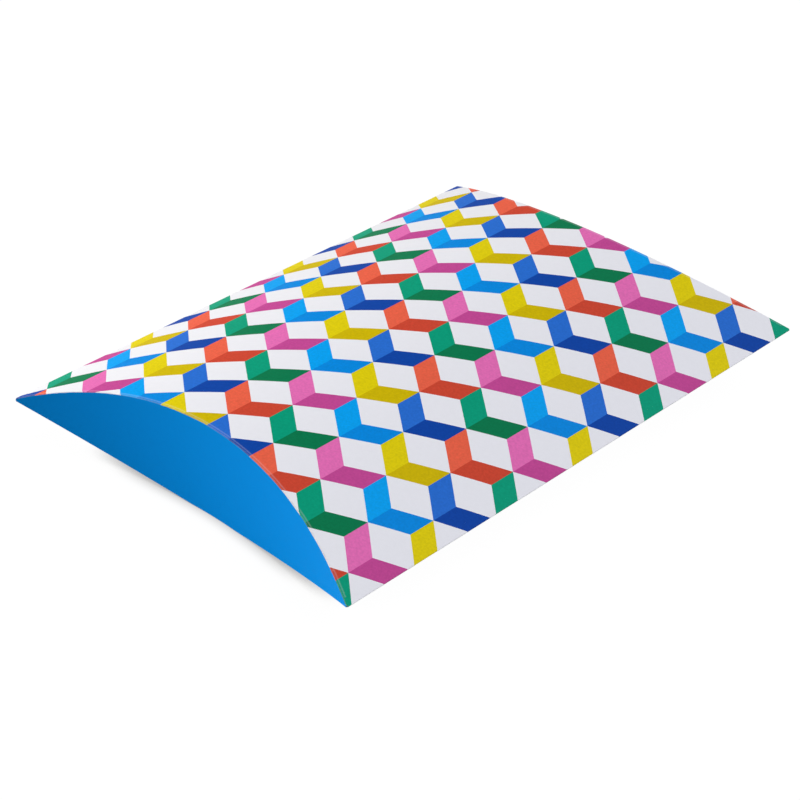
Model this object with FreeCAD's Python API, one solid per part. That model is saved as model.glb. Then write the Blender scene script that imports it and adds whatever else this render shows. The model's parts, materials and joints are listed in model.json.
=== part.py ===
"""Pillow box folded from one sheet of paperboard, lying flat with its ends closed.

Millimetres, +Z up, long axis along Y, origin on the ground under the middle of the box.
Each panel is a cylinder that bows along X. Each end flap is an upright cylinder of the same
radius that bows into the box, so the crease between them lies in a plane at 45 degrees.
"""
import FreeCAD, Part
import math
import os

from FreeCAD import Vector

# Folded box, measured between the sharp lines of its scores
LENGTH = 304.8          # along Y, between the corner points at the two ends
WIDTH = 228.6           # along X, between the two side folds
RISE = 25.4             # crown of each panel from the level of the side folds
REST_LAND = 30.0        # width of the flat that the bottom panel rests on

# Board and adhesive
BOARD = 0.5             # thickness of the sheet
GLUE = 0.2              # thickness of the adhesive
GLUE_MARGIN = 3.0       # bare border of the glue tab around the adhesive

# Side folds, and the glue tab inside the top panel on the -X side
FOLD_ROUND = 0.5        # outside radius of a side fold
FOLD_ARM = 2.0          # folded strip beyond the inside corner of the seam
SEAM_SETBACK = 2.0      # raw edge of the top panel from the side fold's sharp line
TAB_WIDTH = 14.0
TAB_SETBACK = 8.0       # ends of the glue tab's fold from the box's corner points
TAB_TAPER = 8.0         # slant of the glue tab's two ends

# End flaps
OUTER_TIP = 1.6         # outer flap's blunt tips from the point where its edges would meet
FREE_EDGE_RAISE = 0.7   # outer flap's lower edge above the underside of the box
INNER_REACH = 6.0       # crown of the inner flap's free edge above the side folds
INNER_TIP = 2.0         # inner flap's tips from the folded strips

# Clearances
HINGE_GAP = 0.3         # panel end behind the flap that it carries
FLAP_GAP = 0.3          # inner flap behind the outer flap
GLUE_GAP = 0.1          # adhesive below the inside of the top panel

NEAR = -1
FAR = 1
ENDS = {"near": NEAR, "far": FAR}

# Every bowed face shares this radius, so a flap mirrors the end of its panel in the crease plane
RADIUS = (WIDTH ** 2 / 4 + RISE ** 2) / (2 * RISE)
LAND_DEPTH = RADIUS - math.sqrt(RADIUS ** 2 - REST_LAND ** 2 / 4)
FOLD_LEVEL = RISE - LAND_DEPTH
TOP_AXIS = FOLD_LEVEL + RISE - RADIUS
BOTTOM_AXIS = FOLD_LEVEL - RISE + RADIUS
INNER_FACE = BOARD + FLAP_GAP
GLUE_FACE = BOARD + GLUE_GAP
TAB_FACE = GLUE_FACE + GLUE
REACH_RADIUS = (WIDTH ** 2 / 4 + INNER_REACH ** 2) / (2 * INNER_REACH)
REACH_AXIS = FOLD_LEVEL + INNER_REACH - REACH_RADIUS
SPAN = WIDTH / 2 + BOARD


def crossing(lower_axis, lower_radius, upper_axis, upper_radius):
    """Half width of the lens that two round faces enclose, with their axes at these heights."""
    apart = upper_axis - lower_axis
    along = (apart ** 2 + lower_radius ** 2 - upper_radius ** 2) / (2 * apart)
    return math.sqrt(lower_radius ** 2 - along ** 2)


SEAM_INSIDE = crossing(TOP_AXIS, RADIUS - TAB_FACE - BOARD, BOTTOM_AXIS, RADIUS - BOARD)
OUTER_POINT = crossing(TOP_AXIS, RADIUS - BOARD, BOTTOM_AXIS, RADIUS - FREE_EDGE_RAISE)
STRIP_LINE = SEAM_INSIDE - FOLD_ARM
TAB_LINE = STRIP_LINE - TAB_WIDTH
OUTER_HALF = OUTER_POINT - OUTER_TIP
INNER_HALF = STRIP_LINE - INNER_TIP


def block(x_range, z_range):
    """Box over the whole length, for keeping one stretch of the section."""
    size = (x_range[1] - x_range[0], LENGTH, z_range[1] - z_range[0])
    return Part.makeBox(*size, Vector(x_range[0], -LENGTH / 2, z_range[0]))


ABOVE_FOLDS = (FOLD_LEVEL, FOLD_LEVEL + 2 * RISE)
BELOW_FOLDS = (FOLD_LEVEL - 2 * RISE, FOLD_LEVEL)
ALL_HEIGHTS = (BELOW_FOLDS[0], ABOVE_FOLDS[1])


def section(x, z):
    """Point of the cross-section, at the near end of the box."""
    return Vector(x, -LENGTH / 2, z)


def bar(edges):
    """Bar over the whole length with this cross-section."""
    return Part.Face(Part.Wire(edges)).extrude(Vector(0, LENGTH, 0))


def straight_edges(points):
    """Edges that join these points in turn."""
    return [Part.makeLine(start, stop) for start, stop in zip(points, points[1:])]


def below_arc(axis, radius):
    """Bar below a round face that bows up, with its axis at this height."""
    shoulder = axis + math.sqrt(radius ** 2 - SPAN ** 2)
    left, right = section(-SPAN, shoulder), section(SPAN, shoulder)
    arc = Part.Arc(left, section(0, axis + radius), right).toShape()
    floor = [section(SPAN, ALL_HEIGHTS[0]), section(-SPAN, ALL_HEIGHTS[0])]
    return bar([arc] + straight_edges([right] + floor + [left]))


def under_top(inset):
    """Space below the top panel's outer face, moved in by an inset."""
    return below_arc(TOP_AXIS, RADIUS - inset)


def over_bottom(inset):
    """Space above the bottom panel's outer face and its rest land, moved in by an inset."""
    radius = RADIUS - inset
    land = math.sqrt(radius ** 2 - (BOTTOM_AXIS - inset) ** 2)
    shoulder = BOTTOM_AXIS - math.sqrt(radius ** 2 - SPAN ** 2)
    middle = (SPAN + land) / 2
    edges = []
    for side in (-1, 1):
        low, high = section(side * land, inset), section(side * SPAN, shoulder)
        between = section(side * middle, BOTTOM_AXIS - math.sqrt(radius ** 2 - middle ** 2))
        edges.append(Part.Arc(low, between, high).toShape())
    edges += straight_edges([section(-land, inset), section(land, inset)])
    edges += straight_edges([section(SPAN, shoulder), section(SPAN, ALL_HEIGHTS[1]),
                             section(-SPAN, ALL_HEIGHTS[1]), section(-SPAN, shoulder)])
    return bar(Part.__sortEdges__(edges))


def plan_prism(edges):
    """Upright prism on a plan outline."""
    return Part.Face(Part.Wire(edges)).extrude(Vector(0, 0, ALL_HEIGHTS[1] - ALL_HEIGHTS[0]))


def plan(x, y):
    """Point of a plan outline, below the box."""
    return Vector(x, y, ALL_HEIGHTS[0])


def outside_end(end, offset):
    """Space outside one end, up to the end flap's outer face moved in by an offset."""
    axis = LENGTH / 2 + RADIUS - RISE
    radius = RADIUS + offset
    shoulder = axis - math.sqrt(radius ** 2 - SPAN ** 2)
    left, right = plan(-SPAN, end * shoulder), plan(SPAN, end * shoulder)
    arc = Part.Arc(left, plan(0, end * (axis - radius)), right).toShape()
    beyond = [plan(SPAN, end * LENGTH), plan(-SPAN, end * LENGTH)]
    return plan_prism([arc] + straight_edges([right] + beyond + [left]))


def between_ends(shape, offset):
    """Trim both ends of a sleeve piece behind the flaps."""
    for end in ENDS.values():
        shape = shape.cut(outside_end(end, offset))
    return shape


def round_folds(lens):
    """Round the two sharp side lines of a lens-shaped bar."""
    reach = max(abs(vertex.X) for vertex in lens.Vertexes)
    sharp = [edge for edge in lens.Edges
             if all(abs(vertex.X) > reach - FOLD_ROUND for vertex in edge.Vertexes)]
    return lens.makeFillet(FOLD_ROUND, sharp)


def plain_wall():
    """Section of the sleeve where the sheet runs round the +X fold."""
    outside = round_folds(under_top(0).common(over_bottom(0)))
    return outside.cut(under_top(BOARD).common(over_bottom(BOARD)))


def seam_wall():
    """Section of the sheet where it runs from the bottom panel into the glue tab."""
    outside = round_folds(under_top(TAB_FACE).common(over_bottom(0)))
    return outside.cut(under_top(TAB_FACE + BOARD).common(over_bottom(BOARD)))


def tab_plan(margin):
    """Plan of the glue tab, with slanted ends, drawn in by a margin on every side."""
    fold_side = -STRIP_LINE + margin
    free_side = -TAB_LINE - margin
    half = LENGTH / 2 - TAB_SETBACK - margin
    corners = [plan(fold_side, -half), plan(free_side, TAB_TAPER - half),
               plan(free_side, half - TAB_TAPER), plan(fold_side, half)]
    return plan_prism(straight_edges(corners + corners[:1]))


def sleeve():
    """Panels, side folds, glue tab and adhesive: everything that stays still."""
    wall = plain_wall()
    seam = seam_wall()
    behind_outer = BOARD + HINGE_GAP
    behind_inner = INNER_FACE + BOARD + HINGE_GAP
    top = wall.common(block((SEAM_SETBACK - WIDTH / 2, STRIP_LINE), ABOVE_FOLDS))
    bottom = wall.common(block((-STRIP_LINE, STRIP_LINE), BELOW_FOLDS))
    side = wall.common(block((STRIP_LINE, WIDTH), ALL_HEIGHTS))
    seam_strip = seam.common(block((-WIDTH, -STRIP_LINE), ALL_HEIGHTS))
    glue_layer = under_top(GLUE_FACE).cut(under_top(TAB_FACE))
    return {
        "top_panel": between_ends(top, behind_outer),
        "bottom_panel": between_ends(bottom, behind_inner),
        "side_fold": between_ends(side, behind_outer),
        "seam_fold": between_ends(seam_strip, behind_outer),
        "glue_tab": seam.common(block((-WIDTH, 0), ABOVE_FOLDS)).common(tab_plan(0)),
        "glue_line": glue_layer.common(block((-WIDTH, 0), ABOVE_FOLDS)).common(tab_plan(GLUE_MARGIN)),
    }


def outer_flap(end):
    """Flap that hangs from the top panel, and the curved crease that it hangs by."""
    sheet = outside_end(end, BOARD).cut(outside_end(end, 0))
    sheet = sheet.common(block((-OUTER_HALF, OUTER_HALF), ALL_HEIGHTS))
    flap = sheet.common(under_top(BOARD)).common(over_bottom(FREE_EDGE_RAISE))
    crease = sheet.common(under_top(0).cut(under_top(BOARD))).common(over_bottom(FREE_EDGE_RAISE))
    return flap, crease


def inner_flap(end):
    """Flap that stands up from the bottom panel behind the outer flap, and its curved crease."""
    sheet = outside_end(end, INNER_FACE + BOARD).cut(outside_end(end, INNER_FACE))
    sheet = sheet.common(block((-INNER_HALF, INNER_HALF), ALL_HEIGHTS))
    flap = sheet.common(over_bottom(BOARD)).common(below_arc(REACH_AXIS, REACH_RADIUS))
    crease = sheet.common(block((-WIDTH, WIDTH), BELOW_FOLDS))
    crease = crease.common(over_bottom(0).cut(over_bottom(BOARD)))
    return flap, crease


parts = sleeve()
for name, end in ENDS.items():
    parts[f"{name}_outer_flap"], parts[f"{name}_outer_crease"] = outer_flap(end)
    parts[f"{name}_inner_flap"], parts[f"{name}_inner_crease"] = inner_flap(end)

os.makedirs("parts", exist_ok=True)
for name, shape in parts.items():
    shape = shape.removeSplitter()
    state = "valid" if shape.isValid() else "not valid"
    print(f"{name}: {len(shape.Solids)} solid, {shape.Volume:.1f} mm3, {state}")
    shape.exportStep(f"parts/{name}.step")
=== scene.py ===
import json
import math

import bmesh
import bpy
from mathutils import Matrix, Vector


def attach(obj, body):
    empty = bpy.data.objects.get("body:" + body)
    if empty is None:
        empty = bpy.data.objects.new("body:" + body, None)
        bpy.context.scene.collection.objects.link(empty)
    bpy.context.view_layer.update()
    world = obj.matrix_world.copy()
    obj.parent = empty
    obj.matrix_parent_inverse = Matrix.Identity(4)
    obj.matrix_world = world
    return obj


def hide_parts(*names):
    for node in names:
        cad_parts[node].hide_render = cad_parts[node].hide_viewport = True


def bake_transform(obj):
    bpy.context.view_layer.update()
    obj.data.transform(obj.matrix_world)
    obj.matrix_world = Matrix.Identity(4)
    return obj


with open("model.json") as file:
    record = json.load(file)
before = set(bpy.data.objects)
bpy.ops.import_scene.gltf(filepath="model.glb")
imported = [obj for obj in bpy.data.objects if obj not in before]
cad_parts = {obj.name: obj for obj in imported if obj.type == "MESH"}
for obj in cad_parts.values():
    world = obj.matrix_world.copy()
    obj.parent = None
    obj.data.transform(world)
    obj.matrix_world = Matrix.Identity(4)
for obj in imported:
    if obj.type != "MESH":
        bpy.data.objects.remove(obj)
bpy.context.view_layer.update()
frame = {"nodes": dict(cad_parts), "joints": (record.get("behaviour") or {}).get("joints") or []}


# Top panel: the bowed upper face of the sleeve, part of the one die-cut sheet of coated paperboard.
# It is offset printed all over and varnished, and is bowed by the curved creases at its two ends.
# Its raw edge lies on the glue seam at -X, and at +X the sheet runs on round the side fold.
board = 0.0005
rise = 0.0254
half_width = 0.1143
seam_setback = 0.0020
strip_line = 0.1102
crease_strip = 0.0007
score_line, score_reach, score_pale = 0.00125, 0.0007, 0.13
bow_steps = 150
length_cuts = 60
weld = 0.00001

crown = Vector(next(joint["pos_m"] for joint in frame["joints"] if joint["name"] == "near_outer_open"))
half_length = rise - crown.y
fold_level = crown.z - rise
radius = (half_width ** 2 + rise ** 2) / (2 * rise)
top_axis = fold_level + rise - radius
bottom_axis = fold_level - rise + radius


def bow_angle(x):
    """Angle round a bowed face at which it stands this far from the middle."""
    return math.asin(x / radius)


def bow_height(x):
    """Height of a bowed face over the level of the side folds."""
    return math.sqrt(radius ** 2 - x ** 2) - (radius - rise)


def bow_sheet(bm, line, centre, axis, x_range):
    """Sweep a line, given where the face's crown is, into a bowed sheet from x to x."""
    start, stop = (bow_angle(x) for x in x_range)
    verts = [bm.verts.new(point) for point in line]
    edge = bm.edges.new(verts)
    bmesh.ops.rotate(bm, verts=verts, cent=centre, matrix=Matrix.Rotation(start, 3, axis))
    bmesh.ops.spin(bm, geom=verts + [edge], cent=centre, axis=axis, angle=stop - start, steps=bow_steps)


def trim(bm, point, away):
    """Cut the sheet along a plane and drop the side that away points to."""
    bmesh.ops.bisect_plane(bm, geom=bm.verts[:] + bm.edges[:] + bm.faces[:], dist=1e-7,
                           plane_co=point, plane_no=away, clear_outer=True)


def divide(bm, along, cuts, match=0.999):
    """Divide the straight lines of a bowed sheet that run along a direction."""
    lines = [edge for edge in bm.edges
             if abs((edge.verts[1].co - edge.verts[0].co).normalized().dot(along)) > match]
    bmesh.ops.subdivide_edges(bm, edges=lines, cuts=cuts, use_grid_fill=True)


def face_out(bm, outward):
    """Close an open sheet's joins, and turn it so that its first face looks outwards."""
    bmesh.ops.remove_doubles(bm, verts=bm.verts[:], dist=weld)
    bmesh.ops.recalc_face_normals(bm, faces=bm.faces[:])
    bm.normal_update()
    bm.faces.ensure_lookup_table()
    if bm.faces[0].normal.dot(outward) < 0:
        bmesh.ops.reverse_faces(bm, faces=bm.faces[:])


def sheet_place(point):
    """Place on the flat printed sheet, round the section and along the box, of a point of the sleeve."""
    if point.z >= fold_level:
        return radius * math.atan2(point.x, point.z - top_axis), point.y
    turn = math.atan2(point.x, bottom_axis - point.z)
    return radius * (2 * bow_angle(half_width) - turn), point.y


def lay_map(bm, name, place):
    """Write a UV map in metres from a place for each point."""
    layer = bm.loops.layers.uv.new(name)
    for face in bm.faces:
        for loop in face.loops:
            loop[layer].uv = place(loop.vert.co)


def board_piece(bm, name, materials, nodes):
    """Make a sheet into an object as thick as the board, faced outside, inside and on its cut edges."""
    for edge in bm.edges:
        edge.smooth = not edge.is_boundary
    sheet = bpy.data.meshes.new(name)
    bm.to_mesh(sheet)
    bm.free()
    for material in materials:
        sheet.materials.append(material)
    sheet.shade_smooth()
    piece = bpy.data.objects.new(name, sheet)
    bpy.context.scene.collection.objects.link(piece)
    wall = piece.modifiers.new("board", "SOLIDIFY")
    wall.thickness = board
    wall.offset = -1
    wall.use_even_offset = True
    wall.use_quality_normals = True
    wall.material_offset, wall.material_offset_rim = 1, 2
    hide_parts(*nodes)
    return piece


def colour(red, green, blue):
    """Ink or board colour from its 0 to 255 values."""
    parts = [part / 255 for part in (red, green, blue)]
    return [part / 12.92 if part <= 0.04045 else ((part + 0.055) / 1.055) ** 2.4 for part in parts] + [1]


def wire(tree, socket, value):
    """Link a socket to another one, or set it to a value."""
    if isinstance(value, bpy.types.NodeSocket):
        tree.links.new(value, socket)
    else:
        socket.default_value = value


def calc(tree, operation, *values):
    """One step of arithmetic in a node tree."""
    node = tree.nodes.new("ShaderNodeMath")
    node.operation = operation
    for socket, value in zip(node.inputs, values):
        wire(tree, socket, value)
    return node.outputs[0]


def mix(tree, factor, first, second):
    """Mix of two colours."""
    node = tree.nodes.new("ShaderNodeMix")
    node.data_type = "RGBA"
    for socket, value in ((node.inputs[0], factor), (node.inputs[6], first), (node.inputs[7], second)):
        wire(tree, socket, value)
    return node.outputs[2]


def spread(tree, value, low, high, to_low=0.0):
    """Smooth step of a value over a range, up to 1."""
    node = tree.nodes.new("ShaderNodeMapRange")
    node.interpolation_type = "SMOOTHSTEP"
    for socket, setting in zip(node.inputs, (value, low, high, to_low)):
        wire(tree, socket, setting)
    return node.outputs[0]


def noise(tree, place, scale):
    """Noise of about one patch to each 1/scale metres."""
    node = tree.nodes.new("ShaderNodeTexNoise")
    wire(tree, node.inputs["Vector"], place)
    wire(tree, node.inputs["Scale"], scale)
    return node.outputs["Fac"]


def effect(name, inputs, outputs):
    """New node group with its sockets, and its input and output nodes."""
    tree = bpy.data.node_groups.new(name, "ShaderNodeTree")
    for way, sockets in (("INPUT", inputs), ("OUTPUT", outputs)):
        for socket, kind in sockets.items():
            tree.interface.new_socket(socket, in_out=way, socket_type="NodeSocket" + kind)
    return tree, tree.nodes.new("NodeGroupInput").outputs, tree.nodes.new("NodeGroupOutput").inputs


def place_effect(tree, group, **values):
    """Place a node group in a material with its own values."""
    node = tree.nodes.new("ShaderNodeGroup")
    node.node_tree = group
    for name, value in values.items():
        wire(tree, node.inputs[name], value)
    return node.outputs


# The print is the traditional tumbling-blocks patchwork: white tops over two coloured sides
block_half, block_top, block_side = 0.0150, 0.0112, 0.0140
block_row = block_top + block_side
row_shift = 2
ink_patches, ink_mottle = 900.0, 0.35
paper_white = colour(240, 241, 245)
lit_sides = [colour(236, 100, 72), colour(2, 156, 120), colour(231, 112, 182),
             colour(3, 163, 242), colour(226, 208, 10), colour(40, 110, 208)]
dark_sides = [colour(206, 72, 50), colour(2, 118, 74), colour(196, 74, 148),
              colour(2, 138, 224), colour(208, 184, 2), colour(10, 68, 162)]


def ink_fountain(tree, place, inks):
    """One of the inks in turn, by a place from 0 to 1."""
    ramp = tree.nodes.new("ShaderNodeValToRGB")
    ramp.color_ramp.interpolation = "CONSTANT"
    while len(ramp.color_ramp.elements) < len(inks):
        ramp.color_ramp.elements.new(1)
    for index, (element, ink) in enumerate(zip(ramp.color_ramp.elements, inks)):
        element.position = index / len(inks)
        element.color = ink
    wire(tree, ramp.inputs[0], place)
    return ramp.outputs[0]


blocks, given, result = effect("tumbling_blocks", {"Sheet": "Vector", "Place": "Vector"},
                               {"Colour": "Color"})
split = blocks.nodes.new("ShaderNodeSeparateXYZ")
wire(blocks, split.inputs[0], given["Sheet"])
across, along = split.outputs[0], split.outputs[1]


def nearest_block(row):
    """Nearest block of a row, the place across it from its middle, and the slope of its top there."""
    shifted = calc(blocks, "SUBTRACT", across, calc(blocks, "MULTIPLY", row, block_half))
    from_edge = calc(blocks, "ADD", shifted, block_half)
    block = calc(blocks, "FLOOR", calc(blocks, "DIVIDE", from_edge, 2 * block_half))
    offset = calc(blocks, "SUBTRACT", shifted, calc(blocks, "MULTIPLY", block, 2 * block_half))
    slope = calc(blocks, "MULTIPLY", calc(blocks, "ABSOLUTE", offset), block_top / block_half)
    return block, offset, slope


def row_level(row):
    """Place along the sheet of the lowest corners of a row's white tops."""
    return calc(blocks, "MULTIPLY", row, block_row)


upper_row = calc(blocks, "FLOOR", calc(blocks, "DIVIDE", calc(blocks, "ADD", along, block_side), block_row))
upper_slope = nearest_block(upper_row)[2]
upper_base = calc(blocks, "ADD", row_level(upper_row), calc(blocks, "SUBTRACT", upper_slope, block_side))
row = calc(blocks, "SUBTRACT", upper_row, calc(blocks, "LESS_THAN", along, upper_base))
block, offset, slope = nearest_block(row)
turn = calc(blocks, "ADD", block, calc(blocks, "MULTIPLY", row, row_shift))
turn = calc(blocks, "FLOORED_MODULO", turn, len(lit_sides))
fountain = calc(blocks, "DIVIDE", calc(blocks, "ADD", turn, 0.5), len(lit_sides))
sides = mix(blocks, calc(blocks, "GREATER_THAN", offset, 0.0),
            ink_fountain(blocks, fountain, lit_sides), ink_fountain(blocks, fountain, dark_sides))
laid = blocks.nodes.new("ShaderNodeHueSaturation")
ink_lay = calc(blocks, "SUBTRACT", noise(blocks, given["Place"], ink_patches), 0.5)
wire(blocks, laid.inputs["Value"], calc(blocks, "ADD", calc(blocks, "MULTIPLY", ink_lay, ink_mottle), 1.0))
wire(blocks, laid.inputs["Color"], sides)
on_top = calc(blocks, "GREATER_THAN", calc(blocks, "SUBTRACT", along, row_level(row)), slope)
wire(blocks, result["Colour"], mix(blocks, on_top, laid.outputs[0], paper_white))

# Paper grain shows through the ink and varnish as a faint mottle, and breaks up the gloss
fine_grain, cloud_grain, fine_share = 2600.0, 420.0, 0.6
gloss_break = 0.8
grain, given, result = effect("paper_grain", {"Place": "Vector", "Colour": "Color", "Mottle": "Float",
                                              "Rough": "Float"},
                              {"Colour": "Color", "Roughness": "Float", "Height": "Float"})
fine = calc(grain, "MULTIPLY", noise(grain, given["Place"], fine_grain), fine_share)
cloudy = calc(grain, "MULTIPLY", noise(grain, given["Place"], cloud_grain), 1 - fine_share)
tone = calc(grain, "ADD", fine, cloudy)
shade = calc(grain, "MULTIPLY", calc(grain, "SUBTRACT", tone, 0.5), given["Mottle"])
vary = grain.nodes.new("ShaderNodeHueSaturation")
wire(grain, vary.inputs["Value"], calc(grain, "ADD", shade, 1.0))
wire(grain, vary.inputs["Color"], given["Colour"])
wire(grain, result["Colour"], vary.outputs[0])
uneven_gloss = calc(grain, "MULTIPLY", shade, gloss_break)
wire(grain, result["Roughness"], calc(grain, "ADD", given["Rough"], uneven_gloss))
wire(grain, result["Height"], tone)

# A score or fold stretches the ink along its line and leaves it ragged; the paler band there is partly worn
# ink and partly a painted highlight where the rounded board catches the light
ragged_patches, ragged_depth = 1400.0, 0.8
wear_and_highlight, given, result = effect("fold_wear_and_highlight", {"Place": "Vector", "Colour": "Color", "Distance": "Float",
                                           "Reach": "Float", "Pale": "Float"}, {"Colour": "Color"})
uneven = calc(wear_and_highlight, "SUBTRACT", noise(wear_and_highlight, given["Place"], ragged_patches), 0.5)
ragged = calc(wear_and_highlight, "MULTIPLY", uneven, ragged_depth)
share = calc(wear_and_highlight, "DIVIDE", calc(wear_and_highlight, "ABSOLUTE", given["Distance"]), given["Reach"])
worn_and_lit = spread(wear_and_highlight, calc(wear_and_highlight, "ADD", calc(wear_and_highlight, "SUBTRACT", 1.0, share), ragged), 0.0, 1.0)
paled = calc(wear_and_highlight, "MULTIPLY", worn_and_lit, given["Pale"])
wire(wear_and_highlight, result["Colour"], mix(wear_and_highlight, paled, given["Colour"], paper_white))


def board_finish(name, paint, mottle, rough, specular, bump=0.12, depth=0.00008):
    """Material of one face of the board, coloured by paint, which is given the tree and the place."""
    material = bpy.data.materials.new(name)
    material.use_nodes = True
    tree = material.node_tree
    shader = tree.nodes["Principled BSDF"]
    shader.inputs["Specular IOR Level"].default_value = specular
    place = tree.nodes.new("ShaderNodeTexCoord").outputs["Object"]
    grained = place_effect(tree, grain, Place=place, Colour=paint(tree, place), Mottle=mottle, Rough=rough)
    wire(tree, shader.inputs["Base Color"], grained["Colour"])
    wire(tree, shader.inputs["Roughness"], grained["Roughness"])
    relief = tree.nodes.new("ShaderNodeBump")
    relief.inputs["Strength"].default_value = bump
    relief.inputs["Distance"].default_value = depth
    wire(tree, relief.inputs["Height"], grained["Height"])
    wire(tree, shader.inputs["Normal"], relief.outputs[0])
    return material


def uv_map(tree, name):
    """The named UV map of a piece."""
    node = tree.nodes.new("ShaderNodeUVMap")
    node.uv_map = name
    return node.outputs[0]


def all_over_print(tree, place):
    """Print laid by the piece's place on the flat sheet."""
    return place_effect(tree, blocks, Sheet=uv_map(tree, "sheet"), Place=place)["Colour"]


def past_fold(tree):
    """Distance past the fold or crease, from the piece's own map."""
    split = tree.nodes.new("ShaderNodeSeparateXYZ")
    wire(tree, split.inputs[0], uv_map(tree, "crease"))
    return split.outputs[1]


def scored_print(tree, place):
    """Print with a pale line beside each curved crease: a painted highlight where the score's raised
    shoulder catches the light, on ink stretched a little paler there.
    """
    return place_effect(tree, wear_and_highlight, Place=place, Colour=all_over_print(tree, place),
                        Distance=calc(tree, "ADD", past_fold(tree), score_line),
                        Reach=score_reach, Pale=score_pale)["Colour"]


bare_white, bare_fibre = colour(233, 231, 225), colour(206, 202, 194)
fibre_grain, fibre_stretch, fibre_low, fibre_high = 3200.0, 0.12, 0.62, 0.78
core_pale, core_dull = colour(238, 236, 230), colour(214, 210, 201)
ply_grain, ply_squeeze = 1500.0, 6.0


def bare_board(tree, place):
    """Uncoated side of the board, with the odd grey fibre."""
    stretched = tree.nodes.new("ShaderNodeMapping")
    stretched.inputs["Scale"].default_value = (1.0, fibre_stretch, 1.0)
    wire(tree, stretched.inputs["Vector"], place)
    fibres = spread(tree, noise(tree, stretched.outputs[0], fibre_grain), fibre_low, fibre_high)
    return mix(tree, fibres, bare_white, bare_fibre)


def board_core(tree, place):
    """Cut edge of the board, with its plies in view."""
    plies = tree.nodes.new("ShaderNodeMapping")
    plies.inputs["Scale"].default_value = (1.0, 1.0, ply_squeeze)
    wire(tree, plies.inputs["Vector"], place)
    return mix(tree, noise(tree, plies.outputs[0], ply_grain), core_pale, core_dull)


printed_face = board_finish("printed_face", scored_print, mottle=0.10, rough=0.6, specular=0.05)
inside_face = board_finish("inside_face", bare_board, mottle=0.12, rough=0.85, specular=0.25, bump=0.25)
cut_edge = board_finish("cut_edge", board_core, mottle=0.12, rough=0.9, specular=0.2, bump=0.3)
printed_board = (printed_face, inside_face, cut_edge)

bm = bmesh.new()
bow_sheet(bm, [(0, -half_length, top_axis + radius), (0, half_length, top_axis + radius)],
          (0, 0, top_axis), Vector((0, 1, 0)), (seam_setback - half_width, strip_line))
for end in (-1, 1):
    trim(bm, (0, end * (half_length - crease_strip), fold_level), (0, end, 1))
divide(bm, Vector((0, 1, 0)), length_cuts)
face_out(bm, Vector((0, 0, 1)))
lay_map(bm, "sheet", sheet_place)
lay_map(bm, "crease", lambda point: (point.x, abs(point.y) - half_length + bow_height(point.x)))
top_print = board_piece(bm, "top_panel_board", printed_board, ["top_panel"])
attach(top_print, "sleeve")


# Bottom panel: the same bow turned over, with the same print, from the seam fold to the side fold.
# The weight of the box presses a narrow flat land into the board where it rests.
panel_gap = 0.0008
bm = bmesh.new()
bow_sheet(bm, [(0, -half_length, bottom_axis - radius), (0, half_length, bottom_axis - radius)],
          (0, 0, bottom_axis), Vector((0, -1, 0)), (-strip_line, strip_line))
for end in (-1, 1):
    trim(bm, (0, end * (half_length - panel_gap - crease_strip), fold_level), (0, end, -1))
divide(bm, Vector((0, 1, 0)), length_cuts)
for vert in bm.verts:
    vert.co.z = max(vert.co.z, 0)
face_out(bm, Vector((0, 0, -1)))
lay_map(bm, "sheet", sheet_place)
lay_map(bm, "crease", lambda point: (point.x, abs(point.y) - half_length + panel_gap + bow_height(point.x)))
bottom_print = board_piece(bm, "bottom_panel_board", printed_board, ["bottom_panel"])
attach(bottom_print, "sleeve")


# Side fold at +X and seam fold at -X: the two long scored edges of the sleeve, folded back tight.
# The varnished print runs round them and is stretched thin along the fold itself, where it is a little
# paler: partly worn ink and partly a painted highlight on the rounded fold.
fold_round = 0.00055
fold_segments = 8
tab_inset = 0.0008
fold_reach, fold_pale = 0.0007, 0.14


def pale_fold(tree, place, ink):
    """Ink of a folded piece, paler along its fold or crease: partly worn ink and partly a painted highlight
    on the rounded fold.
    """
    return place_effect(tree, wear_and_highlight, Place=place, Colour=ink, Distance=past_fold(tree),
                        Reach=fold_reach, Pale=fold_pale)["Colour"]


def folded_print(tree, place):
    """Print that pales along a fold."""
    return pale_fold(tree, place, all_over_print(tree, place))


folded_face = board_finish("folded_face", folded_print, mottle=0.10, rough=0.6, specular=0.05)


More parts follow.
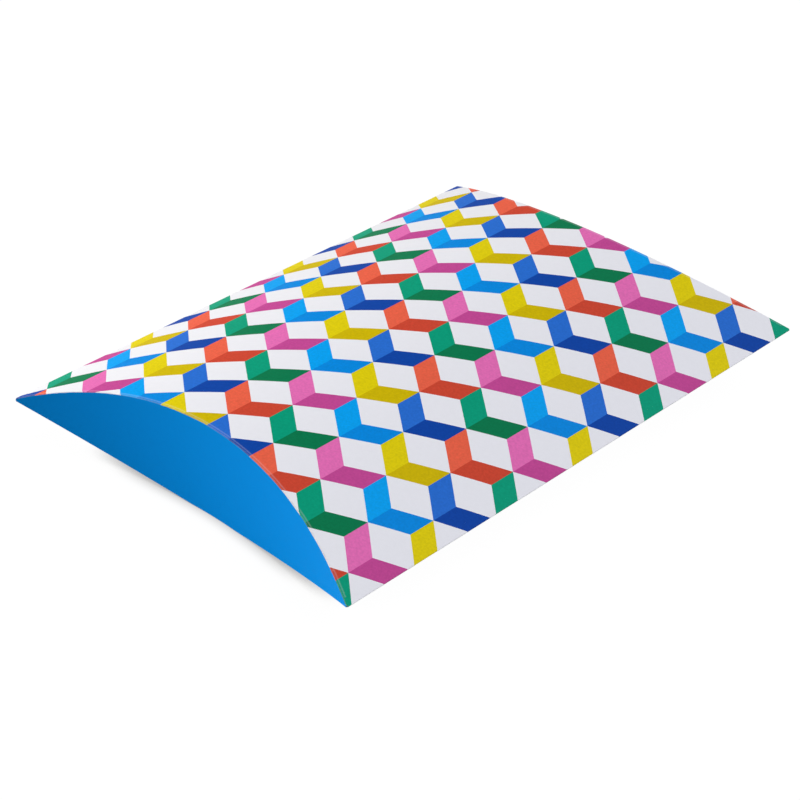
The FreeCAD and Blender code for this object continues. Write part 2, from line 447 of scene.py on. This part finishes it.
def long_fold(side, node, inset, arm_back, tip_back):
    """V-shaped strip of the sheet with a rounded tip, its upper arm set in, and cut back at its ends."""
    apart = bottom_axis - top_axis
    upper = radius - inset
    level = (apart ** 2 + upper ** 2 - radius ** 2) / (2 * apart)
    tip = math.sqrt(upper ** 2 - level ** 2)
    tip_level = top_axis + level
    bm = bmesh.new()
    arms = [(top_axis, upper, 1), (bottom_axis, radius, -1)]
    for axis_height, reach, up in arms:
        start, stop = math.asin(strip_line / reach), math.asin(tip / reach)
        verts = [bm.verts.new((side * strip_line, y, axis_height + up * reach * math.cos(start)))
                 for y in (-half_length, half_length)]
        edge = bm.edges.new(verts)
        bmesh.ops.spin(bm, geom=verts + [edge], cent=(0, 0, axis_height), axis=(0, side * up, 0),
                       angle=stop - start, steps=1)
    face_out(bm, Vector((0, 0, 1)))
    tips = [edge for edge in bm.edges if all(abs(vert.co.x) > tip - weld for vert in edge.verts)]
    bmesh.ops.bevel(bm, geom=tips, offset=fold_round / math.tan(bow_angle(half_width)),
                    offset_type="OFFSET", affect="EDGES", segments=fold_segments, profile=0.5, material=-1)
    for end in (-1, 1):
        trim(bm, (0, end * (half_length - arm_back), fold_level), (0, end, 1))
        trim(bm, (0, end * (half_length - panel_gap), fold_level), (0, end, -1))
        trim(bm, (0, end * (half_length - tip_back), fold_level), (0, end, 0))
    divide(bm, Vector((0, 1, 0)), length_cuts)
    lay_map(bm, "sheet", sheet_place)
    lay_map(bm, "crease", lambda point: (point.y, (tip - abs(point.x)) + abs(point.z - tip_level)))
    piece = board_piece(bm, node + "_board", (folded_face, inside_face, cut_edge), [node])
    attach(piece, "sleeve")


long_fold(1, "side_fold", inset=0.0, arm_back=crease_strip, tip_back=0.0013)
long_fold(-1, "seam_fold", inset=tab_inset, arm_back=0.0018, tip_back=0.0015)


# Glue tab and glue line inside the seam: a tapered flange of the bottom panel's bare board, held under
# the top panel by a thin line of milky adhesive. Both show only through an open end.
bead_patches, bead_low, bead_high = 240.0, 0.3, 0.7
thick_glue, thin_glue = colour(226, 216, 186), colour(240, 233, 212)


def dried_glue(tree, place):
    """Milky adhesive, yellower where it lies thick."""
    beads = spread(tree, noise(tree, place, bead_patches), bead_low, bead_high)
    return mix(tree, beads, thick_glue, thin_glue)


adhesive = board_finish("dried_adhesive", dried_glue, mottle=0.10, rough=0.4, specular=0.5,
                        bump=0.4, depth=0.0002)
for node, material in (("glue_tab", inside_face), ("glue_line", adhesive)):
    solid = frame["nodes"][node]
    solid.data.materials.clear()
    solid.data.materials.append(material)


# Outer flaps: one at each end, hanging from the top panel by a curved crease and bowed into the box.
# The board is creased, not cut, there; the print runs just over the crease, and the rest is solid blue.
crease_round = 0.0006
crease_segments = 5
flap_rows = 24
free_edge_raise = 0.0003
tip_left, tip_right = 0.1123, 0.1130
print_bleed, print_waver, waver_patches = 0.0004, 0.0012, 60.0
flap_blue = colour(1, 157, 255)
corner = Vector((0, -half_length, fold_level))


def flap_paint(tree, place):
    """Solid blue up to the crease, with the print's bleed over it and paler ink on the fold, partly worn
    and partly a painted highlight.
    """
    uneven = calc(tree, "SUBTRACT", noise(tree, place, waver_patches), 0.5)
    wavering = calc(tree, "ADD", past_fold(tree), calc(tree, "MULTIPLY", uneven, print_waver))
    solid = calc(tree, "GREATER_THAN", wavering, print_bleed)
    return pale_fold(tree, place, mix(tree, solid, all_over_print(tree, place), flap_blue))


flap_face = board_finish("flap_face", flap_paint, mottle=0.16, rough=0.6, specular=0.03)


def take_in(bm, sheet):
    """Move another sheet into this one."""
    carrier = bpy.data.meshes.new("carrier")
    sheet.to_mesh(carrier)
    sheet.free()
    bm.from_mesh(carrier)
    bpy.data.meshes.remove(carrier)


def crease_edges(bm, point, square):
    """Inner edges of a sheet that lie in the plane through a point, square to a direction."""
    return [edge for edge in bm.edges if len(edge.link_faces) == 2
            and all(abs((vert.co - point).dot(square)) < weld for vert in edge.verts)]


def round_crease(bm, edges):
    """Round the board along its crease."""
    bmesh.ops.bevel(bm, geom=edges, offset=crease_round, offset_type="OFFSET", affect="EDGES",
                    segments=crease_segments, profile=0.5, material=-1, loop_slide=True)


def bend_in(piece):
    """Bake a flap's placement into its mesh."""
    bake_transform(piece)


def flap_end(bm, end):
    """Turn a flap made for the near end into the one asked for."""
    if end > 0:
        bmesh.ops.scale(bm, vec=(1, -1, 1), verts=bm.verts[:])
        bmesh.ops.reverse_faces(bm, faces=bm.faces[:])


def outer_flap(end, label):
    """Flap, crease and the first strip of the top panel behind it, in one piece of board."""
    span = (-tip_left, tip_right)
    bm = bmesh.new()
    bow_sheet(bm, [(0, -half_length, top_axis + radius), (0, 0, top_axis + radius)],
              (0, 0, top_axis), Vector((0, 1, 0)), span)
    trim(bm, corner, (0, -1, 1))
    trim(bm, corner + Vector((0, crease_strip, 0)), (0, 1, -1))
    back = -half_length + rise - radius
    hanging = bmesh.new()
    bow_sheet(hanging, [(0, back + radius, 0), (0, back + radius, crown.z + rise)],
              (0, back, 0), Vector((0, 0, -1)), span)
    trim(hanging, corner, (0, -1, 1))
    trim(hanging, corner + Vector((0, 0, free_edge_raise)), (0, -1, -1))
    for vert in hanging.verts:
        vert.co.z = max(vert.co.z, free_edge_raise)
    take_in(bm, hanging)
    face_out(bm, Vector((0, -1, 1)))
    round_crease(bm, crease_edges(bm, corner, Vector((0, 1, -1))))
    divide(bm, Vector((0, 0, 1)), flap_rows)
    flap_end(bm, end)

    def past_crease(point):
        """Distance along the board past the crease."""
        return abs(point.y) - (half_length - 2 * bow_height(point.x)) - (point.z - fold_level)

    lay_map(bm, "sheet", lambda point: (radius * bow_angle(point.x),
                                        end * (half_length - bow_height(point.x) + past_crease(point))))
    lay_map(bm, "crease", lambda point: (point.x, past_crease(point)))
    # The blunt tips take the second set of three finishes, in which the cut edge is inked
    finishes = (flap_face, inside_face, cut_edge, flap_face, inside_face, flap_face)
    for face in bm.faces:
        reach = [vert.co.x for vert in face.verts]
        if min(reach) < weld - tip_left or max(reach) > tip_right - weld:
            face.material_index = len(finishes) // 2
    piece = board_piece(bm, label + "_outer_flap_board", finishes,
                        [label + "_outer_flap", label + "_outer_crease"])
    bend_in(piece)


outer_flap(-1, "near")
outer_flap(1, "far")


# Inner flaps: one at each end, standing up from the bottom panel behind the outer flap that covers it.
# They are the same blue board on a curved crease, with a free edge that arches lower than the opening.
inner_set_back = 0.0008
inner_reach = 0.0060
inner_half = 0.1082


def inner_paint(tree, place):
    """Solid blue, paler along the crease, partly worn ink and partly a painted highlight."""
    return pale_fold(tree, place, flap_blue)


inner_face = board_finish("inner_flap_face", inner_paint, mottle=0.16, rough=0.6, specular=0.05)


def inner_flap(end, label):
    """Flap, crease and the first strip of the bottom panel behind it, in one piece of board."""
    span = (-inner_half, inner_half)
    foot = corner + Vector((0, inner_set_back, 0))
    bm = bmesh.new()
    bow_sheet(bm, [(0, -half_length, bottom_axis - radius), (0, 0, bottom_axis - radius)],
              (0, 0, bottom_axis), Vector((0, -1, 0)), span)
    trim(bm, foot, (0, -1, -1))
    trim(bm, foot + Vector((0, crease_strip, 0)), (0, 1, 1))
    back = -half_length + inner_set_back + rise - radius
    standing = bmesh.new()
    bow_sheet(standing, [(0, back + radius, -rise), (0, back + radius, crown.z)],
              (0, back, 0), Vector((0, 0, -1)), span)
    trim(standing, foot, (0, -1, -1))
    trim(standing, foot, (0, -inner_reach, rise))
    take_in(bm, standing)
    face_out(bm, Vector((0, -1, -1)))
    creased = crease_edges(bm, foot, Vector((0, 1, 1)))
    for vert in bm.verts:
        vert.co.z = max(vert.co.z, 0)
    round_crease(bm, creased)
    divide(bm, Vector((0, 0, 1)), flap_rows)
    flap_end(bm, end)
    lay_map(bm, "crease", lambda point: (point.x, abs(point.y) - (half_length - inner_set_back)
                                         + 2 * bow_height(point.x) + (point.z - fold_level)))
    piece = board_piece(bm, label + "_inner_flap_board", (inner_face, inside_face, cut_edge),
                        [label + "_inner_flap", label + "_inner_crease"])
    bend_in(piece)


inner_flap(-1, "near")
inner_flap(1, "far")


# Floor, light and camera: a white sweep under soft studio light, seen from above one corner.
# A faintly warm softbox at the left lights the end flap across, and a wide cool silk above the far
# right corner lights the top panel.
floor_half = 3.0
floor_shadow = 0.05
floor_glow = 1.03
floor_bounce, floor_white = (0.22, 0.22, 0.22, 1), (0.9, 0.9, 0.9, 1)
contact_reach, contact_shut, contact_open, contact_dark = 0.008, 0.10, 1.00, 0.45
edge_reach, edge_shut, edge_open, edge_dark = 0.018, 0.20, 0.58, 0.48


def in_view(tree):
    """1 for what the camera sees, straight or by gloss or glass, and 0 for all other light."""
    path = tree.nodes.new("ShaderNodeLightPath")
    by_gloss = calc(tree, "MAXIMUM", path.outputs["Is Glossy Ray"], path.outputs["Is Transmission Ray"])
    return calc(tree, "MAXIMUM", path.outputs["Is Camera Ray"], by_gloss)


floor_bm = bmesh.new()
bmesh.ops.create_grid(floor_bm, x_segments=1, y_segments=1, size=floor_half)
floor_mesh = bpy.data.meshes.new("floor")
floor_bm.to_mesh(floor_mesh)
floor_bm.free()
floor = bpy.data.objects.new("floor", floor_mesh)
bpy.context.scene.collection.objects.link(floor)
sweep = bpy.data.materials.new("white_sweep")
sweep.use_nodes = True
tree = sweep.node_tree
tree.nodes.remove(tree.nodes["Principled BSDF"])
matt = tree.nodes.new("ShaderNodeBsdfDiffuse")
seen = in_view(tree)
wire(tree, matt.inputs["Color"], mix(tree, seen, floor_bounce, floor_white))


def open_floor(reach):
    """How open the floor is within a reach, from 0 where the box shuts it in to 1."""
    node = tree.nodes.new("ShaderNodeAmbientOcclusion")
    node.inputs["Distance"].default_value = reach
    return node.outputs["AO"]


contact = spread(tree, open_floor(contact_reach), contact_shut, contact_open, contact_dark)
under_edge = spread(tree, open_floor(edge_reach), edge_shut, edge_open, edge_dark)
shadow = calc(tree, "MINIMUM", contact, under_edge)
glow = tree.nodes.new("ShaderNodeEmission")
wire(tree, glow.inputs["Strength"], calc(tree, "MULTIPLY", shadow, floor_glow))
both = tree.nodes.new("ShaderNodeMixShader")
wire(tree, both.inputs[0], calc(tree, "MULTIPLY", seen, 1 - floor_shadow))
wire(tree, both.inputs[1], matt.outputs[0])
wire(tree, both.inputs[2], glow.outputs[0])
wire(tree, tree.nodes["Material Output"].inputs["Surface"], both.outputs[0])
floor_mesh.materials.append(sweep)

room_light = 0.02
lamp_aim = Vector((0, 0, 0.03))
world = bpy.data.worlds.new("studio")
bpy.context.scene.world = world
world.use_nodes = True
tree = world.node_tree
seen = in_view(tree)
back_light = tree.nodes["Background"]
back_light.inputs["Color"].default_value = (1, 1, 1, 1)
backdrop = calc(tree, "MULTIPLY", seen, 1 - room_light)
wire(tree, back_light.inputs["Strength"], calc(tree, "ADD", backdrop, room_light))


def hang_lamp(name, kind, place, strength, tint):
    """Lamp at a place, turned to the box, which the camera doesn't see."""
    lamp = bpy.data.objects.new(name, bpy.data.lights.new(name, kind))
    lamp.data.energy = strength
    lamp.data.color = tint
    lamp.location = place
    lamp.rotation_euler = (lamp_aim - lamp.location).to_track_quat("-Z", "Y").to_euler()
    lamp.visible_camera = False
    bpy.context.scene.collection.objects.link(lamp)
    return lamp.data


overhead = hang_lamp("overhead_silk", "SUN", place=(0.9, 0.9, 1.3),
                     strength=2.85, tint=(0.98, 0.98, 1.03))
overhead.angle = math.radians(70)
softbox = hang_lamp("side_softbox", "AREA", place=(-1.08, -0.79, 0.42),
                    strength=20.0, tint=(1.03, 1.0, 0.95))
softbox.shape = "RECTANGLE"
softbox.size, softbox.size_y = 1.1, 0.8

camera_azimuth, camera_height, camera_roll = (math.radians(angle) for angle in (45.4103, 32.7643, -1.0090))
camera_distance, camera_right, camera_up = 1.00019, -0.00496, -0.01753
camera_lens, camera_sensor = 93.193, 36
back = Vector((math.sin(camera_azimuth) * math.cos(camera_height),
               -math.cos(camera_azimuth) * math.cos(camera_height), math.sin(camera_height)))
level_right = Vector((math.cos(camera_azimuth), math.sin(camera_azimuth), 0))
level_up = back.cross(level_right)
right = level_right * math.cos(camera_roll) + level_up * math.sin(camera_roll)
up = level_up * math.cos(camera_roll) - level_right * math.sin(camera_roll)
stand = Vector((0, 0, fold_level)) + back * camera_distance + right * camera_right + up * camera_up
lens = bpy.data.cameras.new("camera")
lens.lens = camera_lens
lens.sensor_width = camera_sensor
lens.clip_start = 0.01
camera = bpy.data.objects.new("camera", lens)
camera.matrix_world = Matrix.Translation(stand) @ Matrix((right, up, back)).transposed().to_4x4()
bpy.context.scene.collection.objects.link(camera)
bpy.context.scene.camera = camera
bpy.context.scene.view_settings.view_transform = "Standard"
